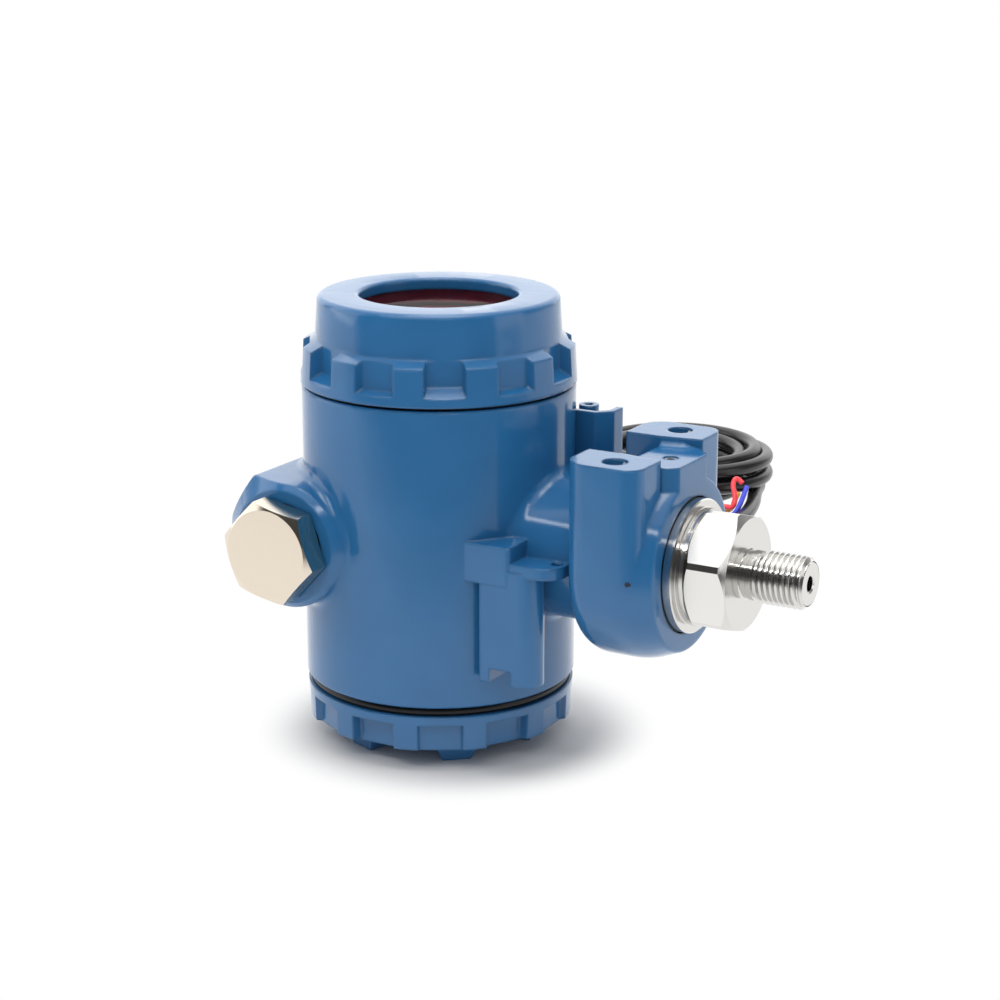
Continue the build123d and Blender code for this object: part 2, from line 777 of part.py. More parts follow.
def sensor():
    """Turned stainless sensor body with its hexagon, port and threaded spigot."""
    disc_back = carrier_front - sensor_bore_depth
    groove_front = seal_groove_back + seal_groove_width
    body = turned_x([
        (disc_back, 0), (disc_back, sensor_disc_radius), (seal_groove_back, sensor_disc_radius),
        (seal_groove_back, seal_groove_radius), (groove_front, seal_groove_radius),
        (groove_front, sensor_disc_radius), (sensor_disc_front - sensor_disc_edge, sensor_disc_radius),
        (sensor_disc_front, sensor_disc_radius - sensor_disc_edge),
        (sensor_disc_front, sensor_collar_radius), (hex_back, sensor_collar_radius), (hex_back, 0),
    ])
    plane = Plane(origin=(hex_back, 0, axis_height), x_dir=(0, -1, 0), z_dir=(1, 0, 0))
    head = extrude(plane * hexagon(hex_across_flats, -hex_corner_angle), hex_front - hex_back)
    head = head & turned_x([
        (hex_back, 0), (hex_back, hex_face_radius), (hex_back + hex_chamfer_length, hex_bar_radius),
        (hex_front - hex_chamfer_length, hex_bar_radius), (hex_front, hex_face_radius), (hex_front, 0),
    ])
    spigot = turned_x([
        (hex_front, 0), (hex_front, thread_neck_radius), (thread_start, thread_neck_radius),
        (thread_start + thread_lead_in, thread_radius), (sensor_end - thread_tip_chamfer, thread_radius),
        (sensor_end, thread_radius - thread_tip_chamfer), (sensor_end, 0),
    ])
    body = body + head + spigot
    capsule_back = disc_back + capsule_depth
    capsule_front = capsule_back + capsule_thickness
    body -= bar_x(capsule_radius + seat_clearance, disc_back - overrun, capsule_front)
    body -= bar_x(port_radius, capsule_front - overrun, sensor_end + overrun)
    export(body, "sensor_body")
    ring_back = seal_groove_back + seal_ring_side_gap
    ring_front = groove_front - seal_ring_side_gap
    seal = bar_x(sensor_disc_radius + seal_ring_squeeze, ring_back, ring_front)
    seal = fillet(seal.edges(), seal_ring_rounding)
    seal -= bar_x(seal_groove_radius, seal_groove_back, groove_front)
    export(seal, "sensor_oring")
    export(bar_x(capsule_radius, capsule_back, capsule_front), "sensor_capsule")
    export(bar_x(lead_radius, compartment_radius - barrel_wall, capsule_back), "sensor_lead")


def lock_screw():
    """Socket set screw between the bosses that keeps the sensor from turning."""
    top = tab_top - lock_screw_recess
    screw = disc(lock_screw_radius - lock_screw_clearance, top - lock_screw_length, top, lock_hole_x)
    socket = upright(hexagon(lock_screw_socket, 0), top - lock_screw_socket_depth, top + overrun)
    export(screw - Pos(lock_hole_x, 0, 0) * socket, "lock_set_screw")


def rounded_path(points):
    """Straight runs joined by the largest tangent arcs that they allow."""
    radii = []
    for before, corner, after in zip(points, points[1:], points[2:]):
        first = Vector(*corner) - Vector(*before)
        second = Vector(*after) - Vector(*corner)
        turn = radians(first.get_angle(second))
        radii.append(0.45 * min(first.length, second.length) / tan(turn / 2))
    print("arc radii", [round(radius, 1) for radius in radii])
    return FilletPolyline(*points, radius=radii)


def tube(points, radius, name):
    """A round cable or core along a route."""
    path = rounded_path(points)
    section = Plane(origin=path @ 0, z_dir=path % 0) * Circle(radius)
    piece = sweep(section, path=path)
    print(name, "length", round(path.length, 1), "volume by length", round(path.length * pi * radius**2, 1))
    export(piece, name)


def cable(exit_y):
    """Cable from the gland to the surface, its coil, and the stripped end with three cores."""
    coil_y = exit_y + coil_distance
    lead = [
        (entry_x, exit_y, axis_height), (entry_x, exit_y + 26, axis_height),
        (entry_x + 0.8, exit_y + 54, axis_height - 13), (entry_x + 3.0, exit_y + 78, axis_height - 35),
        (entry_x + 7.0, exit_y + 103, cable_floor + 1.2), (entry_x + 15.5, exit_y + 136, cable_floor),
        (entry_x + 18.0, exit_y + 162, cable_floor), (entry_x + 13.0, exit_y + 185, cable_floor),
        (entry_x + 6.0, exit_y + 202, cable_floor),
    ]
    tube(lead, cable_radius, "signal_cable")
    coil = ring(coil_outer, coil_inner, 0, coil_height)
    coil = fillet(coil.edges(), coil_rounding)
    export(Pos(coil_x, coil_y, 0) * coil, "cable_coil")
    end_x = coil_x + tail_end_x
    end_y = coil_y + tail_end_y
    tail = [
        (coil_x + 12, coil_y - 33.0, cable_floor), (coil_x + 20, coil_y - 32.5, cable_floor),
        (end_x, end_y, cable_floor),
    ]
    tube(tail, cable_radius, "cable_tail")
    cores = {
        "wire_red": [
            (0, 0, 4.1), (4.8, 1.1, 4.4), (8.4, 1.1, 4.2), (8.0, 3.3, 8.4),
            (5.7, 5.1, 12.0), (6.2, 7.9, 14.6), (8.7, 7.6, 12.2),
        ],
        "wire_yellow": [
            (-0.4, 1.1, 2.1), (3.6, 2.7, 1.8), (6.6, 3.7, 3.0), (6.8, 5.5, 6.4), (7.6, 7.1, 8.6),
        ],
        "wire_blue": [
            (0.6, -1.1, 2.1), (6.0, -0.9, 1.6), (9.6, -0.5, 2.0), (10.8, 3.7, 7.6), (10.7, 7.3, 11.4),
        ],
    }
    for name, points in cores.items():
        tube([(end_x + core_gap + x, end_y + y, z) for x, y, z in points], core_radius, name)


for shape, name in (
    (housing(), "housing"), (display_cover(), "display_cover"), (rear_cover(), "rear_cover"),
    (cover_seal(barrel_top, display_flange), "display_cover_oring"),
    (cover_seal(rear_flange, barrel_bottom), "rear_cover_oring"),
):
    export(shape, name)
window_pieces()
electronics()
wiring()
conduit_plug()
entry_seals()
cable_start = gland()
sensor()
lock_screw()
cable(cable_start)
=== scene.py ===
import bmesh
import bpy
import math
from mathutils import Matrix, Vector


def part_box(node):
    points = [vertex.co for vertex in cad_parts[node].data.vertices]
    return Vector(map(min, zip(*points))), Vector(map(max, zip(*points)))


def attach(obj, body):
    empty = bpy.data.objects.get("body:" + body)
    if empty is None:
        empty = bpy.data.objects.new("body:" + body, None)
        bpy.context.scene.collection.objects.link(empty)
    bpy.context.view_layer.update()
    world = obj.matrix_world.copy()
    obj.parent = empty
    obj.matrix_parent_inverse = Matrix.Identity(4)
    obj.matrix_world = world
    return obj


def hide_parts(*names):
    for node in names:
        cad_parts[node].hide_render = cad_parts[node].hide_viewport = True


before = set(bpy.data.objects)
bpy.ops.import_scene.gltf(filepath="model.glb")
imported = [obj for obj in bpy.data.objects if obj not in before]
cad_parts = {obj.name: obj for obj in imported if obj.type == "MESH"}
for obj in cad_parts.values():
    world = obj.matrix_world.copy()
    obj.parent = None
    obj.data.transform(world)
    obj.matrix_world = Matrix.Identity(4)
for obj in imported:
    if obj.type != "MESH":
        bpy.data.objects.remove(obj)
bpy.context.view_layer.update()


# Housing: one aluminium die casting with a compartment at each end, a carrier for the sensor
# and two cable entries. It is stoved in glossy blue enamel, which softens every edge, is a
# little wavy, and has lost one small chip beside the sensor.
mm = 0.001


def material(name, colour, roughness, metallic=0.0, **sockets):
    """A new material with its main shader set, ready for a pattern."""
    made = bpy.data.materials.new(name)
    made.use_nodes = True
    shader = made.node_tree.nodes["Principled BSDF"]
    shader.inputs["Base Color"].default_value = (*colour, 1.0)
    shader.inputs["Roughness"].default_value = roughness
    shader.inputs["Metallic"].default_value = metallic
    for socket, value in sockets.items():
        shader.inputs[socket.replace("_", " ")].default_value = value
    return made


def shader_of(made):
    """The main shader of a material."""
    return made.node_tree.nodes["Principled BSDF"]


def node(made, kind, **inputs):
    """Adds a node to a material or world and sets its inputs by name."""
    added = made.node_tree.nodes.new(kind)
    for name, value in inputs.items():
        added.inputs[name.replace("_", " ")].default_value = value
    return added


def link(made, source, target):
    """Joins an output to an input."""
    made.node_tree.links.new(source, target)


def place(made):
    """The Object coordinates of whatever carries the material."""
    return node(made, "ShaderNodeTexCoord").outputs["Object"]


def vector_math(made, operation, vector, other=None):
    """Works out a vector operation, against a fixed vector where the operation takes two."""
    worked = node(made, "ShaderNodeVectorMath")
    worked.operation = operation
    link(made, vector, worked.inputs[0])
    if other is not None:
        worked.inputs[1].default_value = other
    return worked.outputs["Vector" if operation == "SUBTRACT" else "Value"]


def number_math(made, operation, first, second):
    """Works out an operation on two changing numbers."""
    worked = node(made, "ShaderNodeMath")
    worked.operation = operation
    link(made, first, worked.inputs[0])
    link(made, second, worked.inputs[1])
    return worked.outputs[0]


def ramp(made, value, start, end, low, high, curve="LINEAR"):
    """Runs from low to high while a value runs from start to end, and stays there."""
    spread = node(
        made, "ShaderNodeMapRange", From_Min=start, From_Max=end, To_Min=low, To_Max=high,
    )
    spread.interpolation_type = curve
    link(made, value, spread.inputs["Value"])
    return spread.outputs["Result"]


def mottle(made, waves, low=0.0, high=1.0, detail=3.0):
    """Smooth random values between low and high, at so many waves a metre."""
    noise = node(made, "ShaderNodeTexNoise", Scale=waves, Detail=detail)
    link(made, place(made), noise.inputs["Vector"])
    return ramp(made, noise.outputs["Fac"], 0.3, 0.7, low, high)


def relief(made, height, depth, rounding=0.0):
    """Turns a height pattern into bump, over edges softened by the given radius."""
    bump = node(made, "ShaderNodeBump", Strength=1.0, Distance=depth)
    link(made, height, bump.inputs["Height"])
    if rounding:
        soft = node(made, "ShaderNodeBevel", Radius=rounding)
        soft.samples = 4
        link(made, soft.outputs["Normal"], bump.inputs["Normal"])
    link(made, bump.outputs["Normal"], shader_of(made).inputs["Normal"])


def two_tone(made, factor, first, second):
    """Base colour that runs from one colour to another; the first may be a node's output."""
    mix = node(made, "ShaderNodeMix")
    mix.data_type = "RGBA"
    first_colour, second_colour = mix.inputs[6], mix.inputs[7]
    link(made, factor, mix.inputs[0])
    if isinstance(first, tuple):
        first_colour.default_value = (*first, 1.0)
    else:
        link(made, first, first_colour)
    second_colour.default_value = (*second, 1.0)
    link(made, mix.outputs[2], shader_of(made).inputs["Base Color"])


def dress(name, finish, crease=28.0):
    """Gives a carried-over piece its finish, with smooth curves and crisp corners."""
    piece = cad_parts[name]
    piece.data.materials.clear()
    piece.data.materials.append(finish)
    for face in piece.data.polygons:
        face.use_smooth = True
    weld = piece.modifiers.new("weld", "WELD")
    weld.merge_threshold = 0.004 * mm
    split = piece.modifiers.new("creases", "EDGE_SPLIT")
    split.split_angle = math.radians(crease)


enamel_blue = (0.0145, 0.0935, 0.226)
enamel_light = (0.0175, 0.103, 0.245)
enamel = material("blue_enamel", enamel_blue, 0.13)
two_tone(enamel, mottle(enamel, 60.0), enamel_blue, enamel_light)
relief(enamel, mottle(enamel, 260.0, detail=1.0), 0.012 * mm, rounding=1.1 * mm)

chipped = enamel.copy()
chipped.name = "blue_enamel_chipped"
chip_place = (71.2 * mm, -25.6 * mm, 59.8 * mm)
chip_edge = 0.67 * mm
chip_fade = 0.05 * mm
chip_colour = (0.012, 0.014, 0.018)
from_chip = number_math(
    chipped, "ADD", mottle(chipped, 1600.0, -0.5 * mm, 0.5 * mm),
    vector_math(chipped, "DISTANCE", place(chipped), chip_place),
)
bare = ramp(chipped, from_chip, chip_edge - chip_fade, chip_edge + chip_fade, 1.0, 0.0)
sound_enamel = shader_of(chipped).inputs["Base Color"].links[0].from_socket
two_tone(chipped, bare, sound_enamel, chip_colour)
dress("housing", chipped)


# Bracket holes and set screw: two holes tapped M8 in the bosses over the sensor, bare metal
# inside. The zinc-plated socket set screw between them bears on the sensor.
def grain(made, waves, depth):
    """Gives a surface a fine even grain."""
    relief(made, mottle(made, waves), depth)


zinc = material("zinc_plate", (0.60, 0.60, 0.58), 0.30, metallic=1.0)
grain(zinc, 2500.0, 0.008 * mm)
dress("lock_set_screw", zinc)
bare_metal = material("tapped_aluminium", (0.30, 0.33, 0.36), 0.35, metallic=1.0)
grain(bare_metal, 2500.0, 0.006 * mm)


def chain(sketch, places, closed=False):
    """Lays a line through the given places, ready to be spun."""
    points = [sketch.verts.new(point) for point in places]
    edges = [sketch.edges.new(pair) for pair in zip(points, points[1:])]
    if closed:
        edges.append(sketch.edges.new((points[-1], points[0])))
    return points + edges


def screw(sketch, line, middle, along, pitch, turns, steps_a_turn):
    """Spins a tooth's line while it moves along the axis, which cuts a right-hand thread."""
    steps = round(turns * steps_a_turn)
    bmesh.ops.spin(
        sketch, geom=line, cent=middle, axis=along, dvec=Vector(along) * pitch / steps_a_turn,
        angle=math.tau * steps / steps_a_turn, steps=steps,
    )


def mesh_piece(name, sketch, finish, smooth, body="housing"):
    """Turns a bmesh sketch into a piece that rides on a body."""
    bmesh.ops.recalc_face_normals(sketch, faces=sketch.faces)
    mesh = bpy.data.meshes.new(name)
    sketch.to_mesh(mesh)
    sketch.free()
    piece = bpy.data.objects.new(name, mesh)
    bpy.context.scene.collection.objects.link(piece)
    piece.data.materials.append(finish)
    for face in mesh.polygons:
        face.use_smooth = True
    mesh.set_sharp_from_angle(angle=math.radians(smooth))
    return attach(piece, body)


hole_x = 63.9 * mm
hole_y = 19.3 * mm
hole_mouth = 89.1 * mm
hole_depth = 9.0 * mm
hole_pitch = 1.25 * mm
hole_radius = 3.4 * mm
hole_crest = hole_radius - 0.55 * mm
hole_tooth = ((0.0, hole_radius), (0.35, hole_crest), (0.65, hole_crest), (1.0, hole_radius))
hole_foot = hole_mouth - hole_depth
threads = bmesh.new()
for side in (-hole_y, hole_y):
    tooth = chain(threads, [
        (hole_x + radius, side, hole_foot + share * hole_pitch) for share, radius in hole_tooth
    ])
    screw(
        threads, tooth, middle=(hole_x, side, 0.0), along=(0.0, 0.0, 1.0), pitch=hole_pitch,
        turns=hole_depth / hole_pitch - 1.0, steps_a_turn=64,
    )
mesh_piece("bracket_threads", threads, bare_metal, smooth=50.0)


# Electronics: a module of boards potted in black resin stands on the housing's partition,
# with the sensor's lead led in. The display board stands on it on four turned spacers.
resin = material("potting_resin", (0.018, 0.018, 0.020), 0.35)
grain(resin, 120.0, 0.05 * mm)
for name in ("electronics_module", "sensor_lead"):
    dress(name, resin)
solder_mask = material("solder_mask", (0.010, 0.060, 0.030), 0.35)
grain(solder_mask, 1500.0, 0.01 * mm)
dress("display_board", solder_mask)
for name in ("display_standoffs", "display_screws"):
    dress(name, zinc)


# Display: a light-emitting panel under a dark red filter, screwed to its board.
# The filter is one moulded acrylic plate, nearly black while the display is off.
filter_red = material("filter_red", (0.034, 0.012, 0.012), 0.35, Specular_IOR_Level=0.06)
grain(filter_red, 300.0, 0.004 * mm)
dress("display_panel", filter_red)


# Covers: two screw caps, die cast and enamelled like the housing, with grips round the rim.
# Each seals on a ring of black nitrile rubber at the root of its thread.
for name in ("display_cover", "rear_cover"):
    dress(name, enamel)
nitrile = material("black_nitrile", (0.003, 0.003, 0.004), 0.32, Specular_IOR_Level=0.25)
grain(nitrile, 1800.0, 0.01 * mm)
for name in ("display_cover_oring", "rear_cover_oring"):
    dress(name, nitrile)


# Window: toughened glass, laid in the display cover on a red silicone seal.
# A slotted ring of blackened steel, screwed in from below, holds both.
silicone = material("red_silicone", (0.30, 0.010, 0.012), 0.40)
grain(silicone, 700.0, 0.02 * mm)
dress("window_seal", silicone)
blackened = material("blackened_steel", (0.020, 0.012, 0.012), 0.45, Specular_IOR_Level=0.2)
grain(blackened, 1800.0, 0.006 * mm)
dress("glass_retainer", blackened)
glass = material("window_glass", (0.96, 0.98, 0.98), 0.0, Transmission_Weight=1.0, IOR=1.03)
grain(glass, 40.0, 0.001 * mm)
dress("window_glass", glass)


# Bedding: red silicone poured round the glass and seen through its edge.
# It fills the narrow gap between the glass and the seat that is bored for it.
glass_low, glass_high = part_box("window_glass")
bedding_gap = 0.15 * mm
bedding_wall = 0.1 * mm
bedding_foot = glass_low.z + 0.1 * mm
bedding_top = glass_high.z - 0.2 * mm
bedding_radius = (glass_high.x - glass_low.x) / 2 + bedding_gap
bedding = bmesh.new()
section = chain(bedding, [
    (bedding_radius + across, 0.0, height) for across, height in (
        (-bedding_wall, bedding_foot), (bedding_wall, bedding_foot),
        (bedding_wall, bedding_top), (-bedding_wall, bedding_top),
    )
], closed=True)
bmesh.ops.spin(
    bedding, geom=section, cent=(0.0, 0.0, 0.0), axis=(0.0, 0.0, 1.0), angle=math.tau, steps=96,
    use_merge=True,
)
glass_bedding = mesh_piece("glass_bedding", bedding, silicone, smooth=60.0, body="display_cap")


# Wiring side: a moulded terminal block hangs under the partition, with an earth screw beside
# it. Plated clamping screws sit in the block's wells.
moulding = material("terminal_moulding", (0.05, 0.055, 0.06), 0.45)
grain(moulding, 1200.0, 0.02 * mm)
dress("terminal_block", moulding)
for name in ("terminal_screws", "internal_ground_screw"):
    dress(name, zinc)


# Cable entries: a hexagon plug closes the near one and a gland holds the cable in the far
# one. Both are turned brass with satin nickel plate, and screw down on black rubber.
bush_low, bush_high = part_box("gland_bush")
entry_x = (bush_low.x + bush_high.x) / 2
axis_z = (bush_low.z + bush_high.z) / 2
gland_end = bush_high.y


def turned(made, middle, along, waves, depth, rough_low, rough_high):
    """Fine rings left by a lathe tool, on faces and on round sides alike."""
    split = node(made, "ShaderNodeSeparateXYZ")
    link(made, vector_math(made, "SUBTRACT", place(made), middle), split.inputs[0])
    across = node(made, "ShaderNodeCombineXYZ")
    for axis in "XYZ".replace(along, ""):
        link(made, split.outputs[axis], across.inputs[axis])
    radius = vector_math(made, "LENGTH", across.outputs[0])
    rings = node(made, "ShaderNodeTexNoise", Scale=waves, Detail=2.0)
    rings.noise_dimensions = "1D"
    link(made, number_math(made, "ADD", radius, split.outputs[along]), rings.inputs["W"])
    rough = ramp(made, rings.outputs["Fac"], 0.3, 0.7, rough_low, rough_high)
    link(made, rough, shader_of(made).inputs["Roughness"])
    relief(made, rings.outputs["Fac"], depth)


nickel = material("satin_nickel", (0.70, 0.62, 0.52), 0.26, metallic=1.0)
turned(
    nickel, (entry_x, 0.0, axis_z), "Y", waves=2600.0, depth=0.0007 * mm,
    rough_low=0.13, rough_high=0.20,
)
dress("conduit_plug", nickel, crease=12.0)
for name in ("gland_body", "gland_nut"):
    dress(name, nickel)
for name in ("plug_seal", "gland_seal", "gland_bush"):
    dress(name, nitrile)


# Sensor: turned from stainless bar, with the thread cut and then six flats milled on its
# collar. The disc seals in the carrier's bore on a rubber ring, and the capsule lies behind.
stainless = material("turned_stainless", (0.62, 0.61, 0.59), 0.16, metallic=1.0)
turned(
    stainless, (0.0, 0.0, axis_z), "X", waves=3500.0, depth=0.003 * mm,
    rough_low=0.10, rough_high=0.24,
)
dress("sensor_capsule", stainless)
dress("sensor_oring", nitrile)
milled = material("milled_stainless", (0.72, 0.71, 0.68), 0.30, metallic=1.0)
grain(milled, 1500.0, 0.004 * mm)
sensor_axis = (1.0, 0.0, 0.0)
sensor_middle = Vector((0.0, 0.0, axis_z))


def over_axis(profile):
    """Places above the sensor's axis for (along, radius) pairs in millimetres."""
    return [(along * mm, 0.0, axis_z + radius * mm) for along, radius in profile]


thread_start = 96.9
thread_end = 110.5
thread_pitch = 1.5
thread_root = 6.08
thread_crest = 7.0
tooth = [(thread_start + share * thread_pitch, radius) for share, radius in (
    (0.0, thread_root), (0.12, thread_root), (0.40, thread_crest - 0.02), (0.44, thread_crest),
    (0.56, thread_crest), (0.60, thread_crest - 0.02), (0.88, thread_root), (1.0, thread_root),
)]
body = bmesh.new()
screw(
    body, chain(body, over_axis(tooth)), middle=sensor_middle, along=sensor_axis,
    pitch=thread_pitch * mm, turns=(thread_end - thread_start) / thread_pitch + 0.1,
    steps_a_turn=72,
)
run_out = 1.2
run_out_at_tip = 5.75 * mm
run_out_at_root = 6.0 * mm
under_shank = 5.9 * mm
for point in body.verts:
    spoke = Vector((0.0, point.co.y, point.co.z - axis_z))
    from_tip = max(0.0, thread_end * mm - point.co.x)
    from_root = max(0.0, point.co.x - thread_start * mm)
    limit = min(run_out_at_tip + from_tip * run_out, run_out_at_root + from_root * run_out)
    spoke.length = max(under_shank, min(spoke.length, limit))
    point.co = Vector((point.co.x, 0.0, axis_z)) + spoke
bmesh.ops.bisect_plane(
    body, geom=body.verts[:] + body.edges[:] + body.faces[:], dist=0.001 * mm,
    plane_co=(thread_end * mm, 0.0, 0.0), plane_no=sensor_axis, clear_outer=True,
)

disc_radius = 17.9
groove_radius = 16.3
neck_radius = 15.6
collar_start = 81.7
collar_end = 93.3
collar_radius = 16.85
collar_face = 14.8
shank_radius = 6.1
bore_radius = 2.0
chamber_radius = 9.3
back_of_disc = ((61.0, chamber_radius), (61.0, disc_radius))
seal_groove = (
    (74.9, disc_radius), (74.9, groove_radius), (77.1, groove_radius), (77.1, disc_radius),
)
front_of_disc = ((79.25, disc_radius), (79.6, disc_radius - 0.35), (79.6, neck_radius + 0.15))
scored_neck = (
    (79.75, neck_radius), (80.5, neck_radius), (80.55, neck_radius - 0.15),
    (80.7, neck_radius - 0.15), (80.75, neck_radius), (collar_start, neck_radius),
)
collar = (
    (collar_start, collar_face), (collar_start + 1.5, collar_radius),
    (collar_end - 1.5, collar_radius), (collar_end, collar_face),
)
spigot = (
    (collar_end, 6.8), (93.6, 6.3), (94.9, 6.3), (95.1, 6.6), (96.6, 6.6),
    (thread_start, shank_radius),
)
tip = ((109.9, shank_radius), (110.6, 5.6), (110.6, bore_radius + 0.6), (110.3, bore_radius))
chamber = ((72.0, bore_radius), (72.0, chamber_radius))
bar = chain(body, over_axis(
    back_of_disc + seal_groove + front_of_disc + scored_neck + collar + spigot + tip + chamber
), closed=True)
bmesh.ops.spin(
    body, geom=bar, cent=sensor_middle, axis=sensor_axis, angle=math.tau, steps=240,
    use_merge=True,
)

first_corner = math.radians(-13.0)
across_flats = 30.0 * mm
skin = 0.01 * mm
side_reach = 0.3 * across_flats
for flat in range(6):
    turn = first_corner + math.pi / 6 + flat * math.pi / 3
    outwards = Vector((0.0, math.sin(turn), math.cos(turn)))
    side = []
    for face in body.faces:
        centre = face.calc_center_median()
        on_collar = collar_start * mm + skin < centre.x < collar_end * mm - skin
        if on_collar and (centre - sensor_middle).dot(outwards) > side_reach:
            side.append(face)
    edges = {edge for face in side for edge in face.edges}
    points = {point for face in side for point in face.verts}
    cut = bmesh.ops.bisect_plane(
        body, geom=[*points, *edges, *side], dist=0.001 * mm,
        plane_co=sensor_middle + outwards * across_flats / 2, plane_no=outwards, clear_outer=True,
    )
    rim = [part for part in cut["geom_cut"] if isinstance(part, bmesh.types.BMEdge)]
    for face in bmesh.ops.edgenet_fill(body, edges=rim)["faces"]:
        face.material_index = 1
sensor_turned = mesh_piece("sensor_body_turned", body, stainless, smooth=24.0)
sensor_turned.data.materials.append(milled)
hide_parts("sensor_body")


# Cable: black signal cable out of the gland, loosely coiled on the bench behind the housing.
# Its extruded sheath is polyvinyl chloride, faintly satin. The coil winds in on the bench,
# climbs inside, winds out over the top and comes down outside.
sheath = material("black_sheath", (0.006, 0.006, 0.007), 0.28)
grain(sheath, 900.0, 0.02 * mm)
dress("cable_in_gland", sheath)


def routed(name, points, radius, resolution):
    """A round cord along one open spline led by the given points."""
    curve = bpy.data.curves.new(name, "CURVE")
    curve.dimensions = "3D"
    curve.bevel_depth = 1.0
    curve.bevel_resolution = resolution
    curve.resolution_u = 6
    curve.use_fill_caps = True
    spline = curve.splines.new("NURBS")
    spline.points.add(len(points) - 1)
    for control, point in zip(spline.points, points):
        control.co = (*point, 1.0)
        control.radius = radius
    spline.order_u = 3
    spline.use_endpoint_u = True
    cord = bpy.data.objects.new(name, curve)
    bpy.context.scene.collection.objects.link(cord)
    return cord


cable_diameter = 5.4 * mm
cable_floor = 2.8 * mm
hanging = ((0.0, 0.0, 0.0), (0.0, 26.0, 0.0), (0.8, 54.0, -13.0), (3.0, 78.0, -35.0))
lying = ((7.0, 103.0), (15.5, 136.0), (18.0, 162.0), (13.0, 185.0), (6.0, 202.0))
cable_points = [
    (entry_x + x * mm, gland_end + y * mm, axis_z + fall * mm) for x, y, fall in hanging
]
cable_points += [(entry_x + x * mm, gland_end + y * mm, cable_floor) for x, y in lying]

coil_low, coil_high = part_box("cable_coil")
coil_middle = (coil_low + coil_high) / 2
coil_start = math.radians(2.0)
steps_a_turn = 16
turn_radius_height = (
    (0.0, 32.0, 2.8), (1.0, 23.4, 2.8), (2.0, 23.4, 8.3), (3.0, 23.4, 13.9), (3.5, 26.2, 16.4),
    (4.0, 28.9, 16.4), (4.5, 31.7, 16.3), (5.0, 34.0, 14.5), (6.0, 34.1, 8.1), (6.8, 34.2, 2.9),
)
turns = turn_radius_height[-1][0]
steps = round(turns * steps_a_turn)
cut_inside = math.cos(math.pi / steps_a_turn) ** 0.7
stretches = list(zip(turn_radius_height, turn_radius_height[1:]))
for step in range(1, steps + 1):
    turn = turns * step / steps
    before, after = next(pair for pair in stretches if turn <= pair[1][0] + 1e-9)
    share = (turn - before[0]) / (after[0] - before[0])
    reach = before[1] + share * (after[1] - before[1])
    reach *= mm / cut_inside
    height = (before[2] + share * (after[2] - before[2])) * mm
    angle = coil_start + math.tau * turn
    cable_points.append((
        coil_middle.x + reach * math.cos(angle), coil_middle.y + reach * math.sin(angle), height,
    ))
for x, y in ((20.0, -32.5), (28.0, -29.5)):
    cable_points.append((coil_middle.x + x * mm, coil_middle.y + y * mm, cable_floor))
cable = routed("signal_cable_run", cable_points, cable_diameter / 2, resolution=7)
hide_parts("signal_cable", "cable_coil", "cable_tail")
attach(cable, "housing")
cable.data.materials.append(sheath)


# Cores: three insulated wires that stand out of the stripped end of the cable.
# Red, yellow and blue; the red one bends over like a hook.
core_radius = 0.95 * mm
core_start = Vector(cable_points[-1]) + Vector((0.15 * mm, 0.0, -cable_floor))
core_looks = {
    "core_red": (
        (0.80, 0.045, 0.060),
        (0, 0, 4.1), (4.8, 1.1, 4.4), (8.4, 1.1, 4.2), (8.0, 3.3, 8.4), (5.7, 5.1, 12.0),
        (6.2, 7.9, 14.6), (8.7, 7.6, 12.2),
    ),
    "core_yellow": (
        (0.85, 0.42, 0.03),
        (-0.4, 1.1, 2.1), (3.6, 2.7, 1.8), (6.6, 3.7, 3.0), (6.8, 5.5, 6.4), (7.6, 7.1, 8.6),
    ),
    "core_blue": (
        (0.045, 0.06, 0.55),
        (0.6, -1.1, 2.1), (6.0, -0.9, 1.6), (9.6, -0.5, 2.0), (10.8, 3.7, 7.6), (10.7, 7.3, 11.4),
    ),
}
for name, (colour, *run) in core_looks.items():
    insulation = material(name + "_insulation", colour, 0.35)
    grain(insulation, 2500.0, 0.01 * mm)
    places = [core_start + Vector(offset) * mm for offset in run]
    core = routed(name + "_run", places, core_radius, resolution=5)
    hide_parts(name.replace("core", "wire"))
    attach(core, "housing")
    core.data.materials.append(insulation)


# Floor: plain white paper that keeps the object's shadow, darkened by painted shade where the
# camera sees it, and fades to pure white beyond it.
# Polished metal sees it bright close by and darker towards the camera.
floor_sketch = bmesh.new()
bmesh.ops.create_grid(floor_sketch, x_segments=1, y_segments=1, size=6.0)
floor_mesh = bpy.data.meshes.new("floor")
floor_sketch.to_mesh(floor_mesh)
floor_sketch.free()
floor = bpy.data.objects.new("floor", floor_mesh)
bpy.context.scene.collection.objects.link(floor)
painted_shade_grey = (0.55, 0.55, 0.55)
paper_white = (0.88, 0.88, 0.88)
paper = material("white_paper", paper_white, 0.7, Specular_IOR_Level=0.2)
rays = node(paper, "ShaderNodeLightPath").outputs
# Painted shade: the camera sees the paper grey instead of white, so the shadow near the object
# looks darker than the lamps make it.
two_tone(paper, rays["Is Camera Ray"], paper_white, painted_shade_grey)


def blend(made, share, under, over):
    """Mixes one shader over another by the given share."""
    mixed = node(made, "ShaderNodeMixShader")
    link(made, share, mixed.inputs[0])
    link(made, under, mixed.inputs[1])
    link(made, over, mixed.inputs[2])
    return mixed.outputs[0]


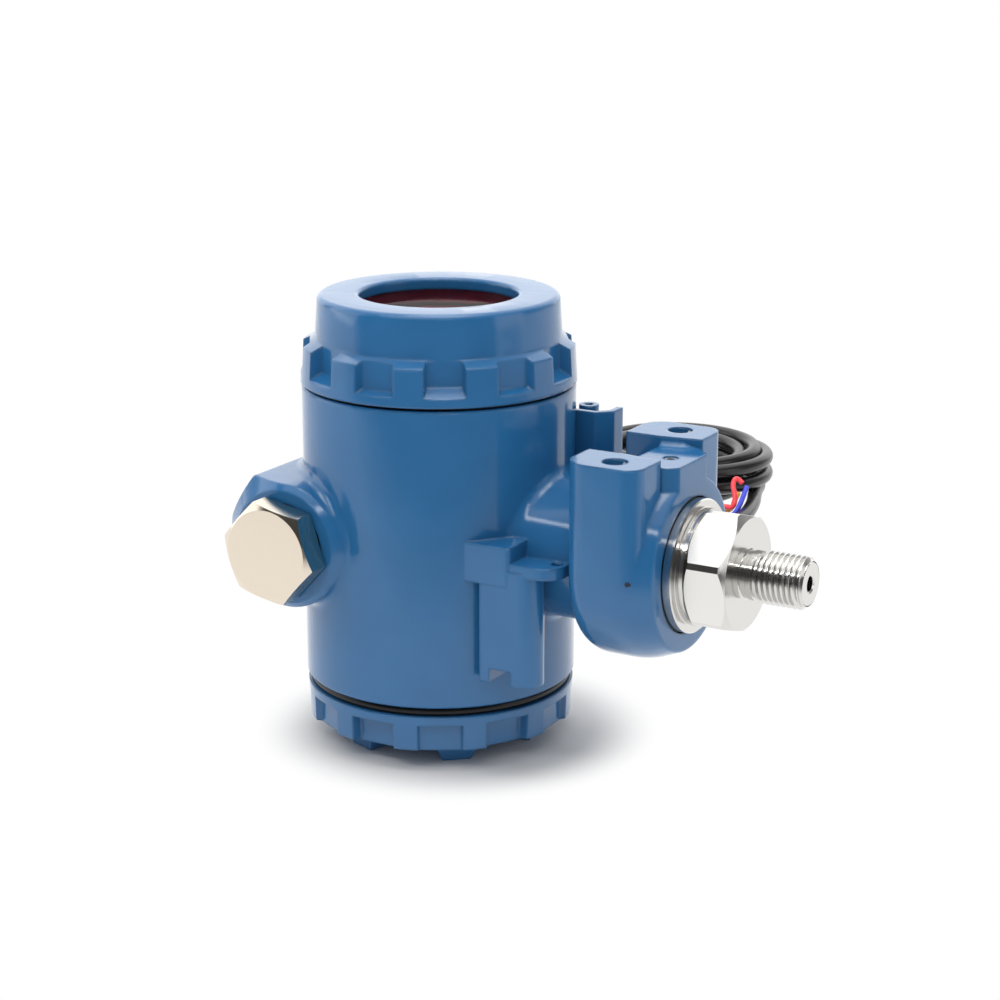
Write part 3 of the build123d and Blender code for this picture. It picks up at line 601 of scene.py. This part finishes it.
shadow_middle = (4.0 * mm, 2.0 * mm, 0.0)
shadow_edge = 37.0 * mm
shadow_end = 58.0 * mm
from_shadow = vector_math(paper, "DISTANCE", place(paper), shadow_middle)
clear = ramp(paper, from_shadow, shadow_edge, shadow_end, 0.0, 1.0, curve="SMOOTHSTEP")
white_light = node(paper, "ShaderNodeEmission", Strength=1.0)
seen = blend(
    paper, number_math(paper, "MULTIPLY", rays["Is Camera Ray"], clear),
    shader_of(paper).outputs[0], white_light.outputs[0],
)
forward = vector_math(paper, "DOT_PRODUCT", place(paper), (0.52, -0.85, 0.0))
mirrored = ramp(paper, forward, start=0.13, end=0.30, low=1.20, high=0.20)
mirrored_light = node(paper, "ShaderNodeEmission")
link(paper, mirrored, mirrored_light.inputs["Strength"])
surface = blend(
    paper, number_math(paper, "MULTIPLY", rays["Is Glossy Ray"], clear),
    seen, mirrored_light.outputs[0],
)
link(paper, surface, paper.node_tree.nodes["Material Output"].inputs["Surface"])
floor.data.materials.append(paper)


# Lamps: a wide white wall of light behind, a broad one with a bright core overhead, a thin
# strip and a weak fill in front, and panels to the left and right, all soft boxes.
def lamp(name, place_m, size, radiance):
    """A soft box of the given radiance at a place, turned towards the object."""
    data = bpy.data.lights.new(name, "AREA")
    data.shape = "RECTANGLE"
    data.size, data.size_y = size
    data.energy = radiance * math.pi * size[0] * size[1]
    made = bpy.data.objects.new(name, data)
    made.location = place_m
    towards_object = Vector((0.02, 0.0, 0.06)) - Vector(place_m)
    made.rotation_euler = towards_object.to_track_quat("-Z", "Y").to_euler()
    made.visible_camera = False
    bpy.context.scene.collection.objects.link(made)
    return made


lamp("back_wall", (-0.70, 1.15, 0.75), (3.2, 1.5), 1.15)
lamp("overhead", (0.0, 0.05, 1.5), (2.3, 2.3), 1.25)
lamp("overhead_core", (0.02, 0.06, 1.45), (0.75, 0.75), 5.0)
lamp("front_strip", (0.10, -0.95, 1.15), (1.6, 0.10), 11.0)
lamp("front_fill", (0.35, -1.10, 0.60), (1.6, 0.9), 0.46).visible_glossy = False
lamp("left_panel", (-0.95, -0.35, 0.45), (0.8, 0.9), 1.5)
lamp("right_panel", (1.15, 0.20, 0.35), (0.7, 0.7), 1.3)


# Room: white behind everything that the camera sees, and an even grey light on the object.
# Polished metal and glass see it dark in front and lighter behind, as in the studio.
world = bpy.data.worlds.new("studio")
bpy.context.scene.world = world
world.use_nodes = True
world.node_tree.nodes.clear()
white = (1.0, 1.0, 1.0, 1.0)
rays = node(world, "ShaderNodeLightPath").outputs
towards = node(world, "ShaderNodeTexCoord").outputs["Generated"]
behind = vector_math(world, "DOT_PRODUCT", towards, (-0.52, 0.85, 0.0))
ambient = node(world, "ShaderNodeBackground", Color=white, Strength=0.42)
reflection = ramp(world, behind, start=-0.3, end=0.5, low=0.06, high=0.45)
reflected = node(world, "ShaderNodeBackground", Color=white)
link(world, reflection, reflected.inputs["Strength"])
backdrop = node(world, "ShaderNodeBackground", Color=white, Strength=1.0)
lighting = blend(world, rays["Is Glossy Ray"], ambient.outputs[0], reflected.outputs[0])
room = blend(world, rays["Is Camera Ray"], lighting, backdrop.outputs[0])
link(world, room, node(world, "ShaderNodeOutputWorld").inputs["Surface"])


# Camera: a long lens a little above the window, where the photographer stood, turned so that
# the sensor points to the right and slightly towards the lens.
camera_data = bpy.data.cameras.new("camera")
camera_data.lens = 83.85
camera_data.sensor_width = 36.0
camera_data.clip_start = 0.05
camera_data.clip_end = 20.0
camera = bpy.data.objects.new("camera", camera_data)
camera.location = (0.323188, -0.531551, 0.240245)
camera.rotation_euler = [math.radians(angle) for angle in (74.3533, -0.0395, 29.7776)]
bpy.context.scene.collection.objects.link(camera)
bpy.context.scene.camera = camera
bpy.context.scene.view_settings.view_transform = "Standard"
